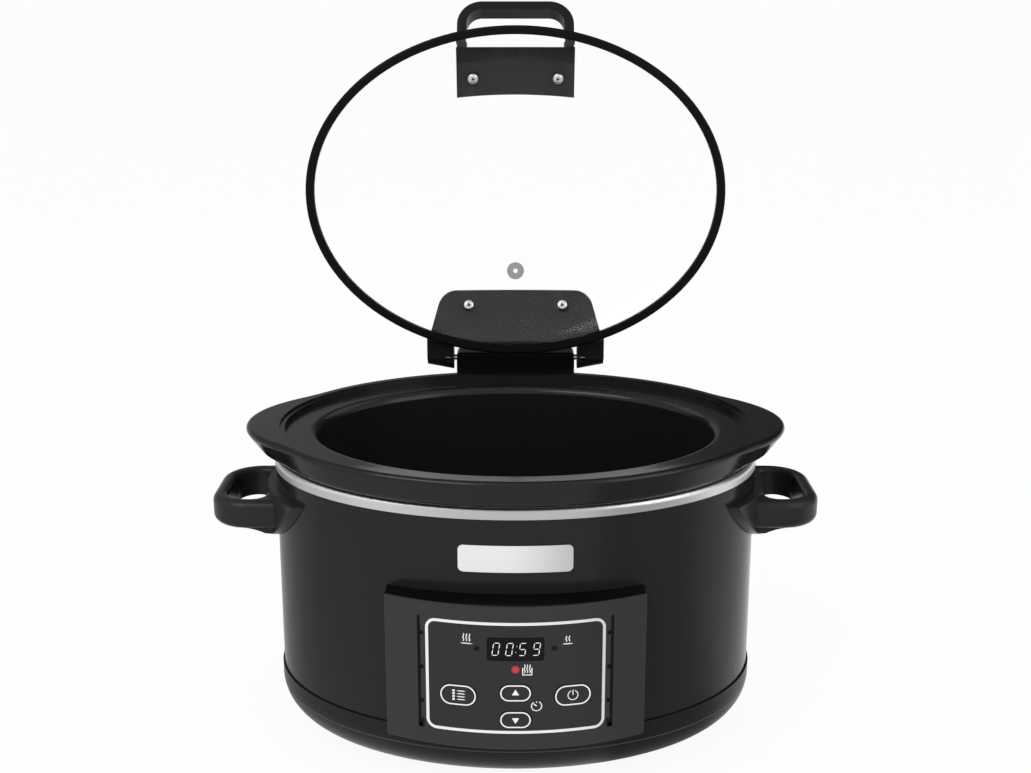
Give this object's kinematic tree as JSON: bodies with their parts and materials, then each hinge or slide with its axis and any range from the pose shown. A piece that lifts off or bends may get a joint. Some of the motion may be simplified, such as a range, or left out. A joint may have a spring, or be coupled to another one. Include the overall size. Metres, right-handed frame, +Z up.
{
  "type": "slow cooker with a hinged glass lid",
  "caption": "Oval slow cooker with a stoneware crock, a digital push-button panel, side handles and a glass lid that hinges up at the rear.",
  "frame": {"origin": "on the table, under the middle of the oval housing, at the sole of the centre foot", "axes": "+X to the right of the picture, towards the power button; +Y to the rear, towards the hinge; +Z up"},
  "size_m": [0.3772, 0.2888, 0.4476],
  "materials": {
    "gloss_black_paint": "gloss black paint on steel",
    "black_plastic": "satin black",
    "fascia_plastic": "dark gloss",
    "silver_trim": "satin silver",
    "bright_steel": "plain steel",
    "black_steel": "black coated steel rim",
    "well_aluminium": "pressed sheet",
    "heater_foil": "foil faced band",
    "insulation": "fibre blanket",
    "stoneware_glaze": "black glaze on stoneware",
    "clear_glass": "clear tempered glass",
    "black_rubber": "black rubber",
    "display_cover": "dark window",
    "display_block": "moulded block",
    "red_lens": "red translucent",
    "clear_lens": "clear light pipe",
    "circuit_board": "green laminate",
    "dark_component": "dark moulding"
  },
  "bodies": {
    "base": {"base_pan": "black_plastic", "feet": "black_rubber", "base_screws": "bright_steel", "outer_housing": "gloss_black_paint", "trim_ring": "silver_trim", "heating_well": "well_aluminium", "heater_band": "heater_foil", "insulation_wrap": "insulation", "thermal_fuse": "bright_steel", "temperature_sensor": "bright_steel", "control_bezel": "black_plastic", "panel_fascia": "fascia_plastic", "panel_frame": "silver_trim", "display_window": "display_cover", "display_module": "display_block", "high_lamp": "clear_lens", "low_lamp": "clear_lens", "warm_lamp": "red_lens", "control_board": "circuit_board", "tact_switches": "dark_component", "power_board": "circuit_board", "power_relay": "dark_component", "power_capacitor": "dark_component", "right_handle": "black_plastic", "left_handle": "black_plastic", "handle_screws": "bright_steel", "badge_plate": "silver_trim", "cord_inlet": "black_plastic", "hinge_rails": "black_plastic", "hinge_cover": "black_plastic", "cover_screws": "bright_steel", "socket_screws": "bright_steel"},
    "crock": {"crock": "stoneware_glaze"},
    "hinge_carrier": {"hinge_post": "black_plastic", "hinge_tongue": "black_plastic", "hinge_pin": "bright_steel"},
    "lid": {"lid_glass": "clear_glass", "lid_rim": "black_steel", "lid_seal": "black_rubber", "steam_vent": "bright_steel", "lid_handle": "black_plastic", "lid_handle_screws": "bright_steel", "hinge_bracket": "black_plastic", "hinge_screws": "bright_steel"},
    "menu_button": {"menu_button": "fascia_plastic"},
    "up_button": {"up_button": "fascia_plastic"},
    "down_button": {"down_button": "fascia_plastic"},
    "power_button": {"power_button": "fascia_plastic"}
  },
  "joints": [
    {"name": "crock_lift", "type": "slide", "parent": "base", "child": "crock", "axis": [0, 0, 1], "range_m": [0, 0.2]},
    {"name": "lid_lift_off", "type": "slide", "parent": "crock", "child": "hinge_carrier", "axis": [0, 0, 1], "range_m": [0, 0.2]},
    {"name": "lid_hinge", "type": "hinge", "parent": "hinge_carrier", "child": "lid", "pos_m": [0, 0.1156, 0.2065], "axis": [-1, 0, 0], "range_deg": [-91.85, 0]},
    {"name": "menu_button_push", "type": "slide", "parent": "base", "child": "menu_button", "axis": [0.2051, 0.9787, 0], "range_m": [0, 0.0008], "stiffness_N_per_m": 1200, "springref_m": -0.0004},
    {"name": "up_button_push", "type": "slide", "parent": "base", "child": "up_button", "axis": [0, 1, 0], "range_m": [0, 0.0008], "stiffness_N_per_m": 1200, "springref_m": -0.0004},
    {"name": "down_button_push", "type": "slide", "parent": "base", "child": "down_button", "axis": [0, 1, 0], "range_m": [0, 0.0008], "stiffness_N_per_m": 1200, "springref_m": -0.0004},
    {"name": "power_button_push", "type": "slide", "parent": "base", "child": "power_button", "axis": [-0.2051, 0.9787, 0], "range_m": [0, 0.0008], "stiffness_N_per_m": 1200, "springref_m": -0.0004}
  ]
}
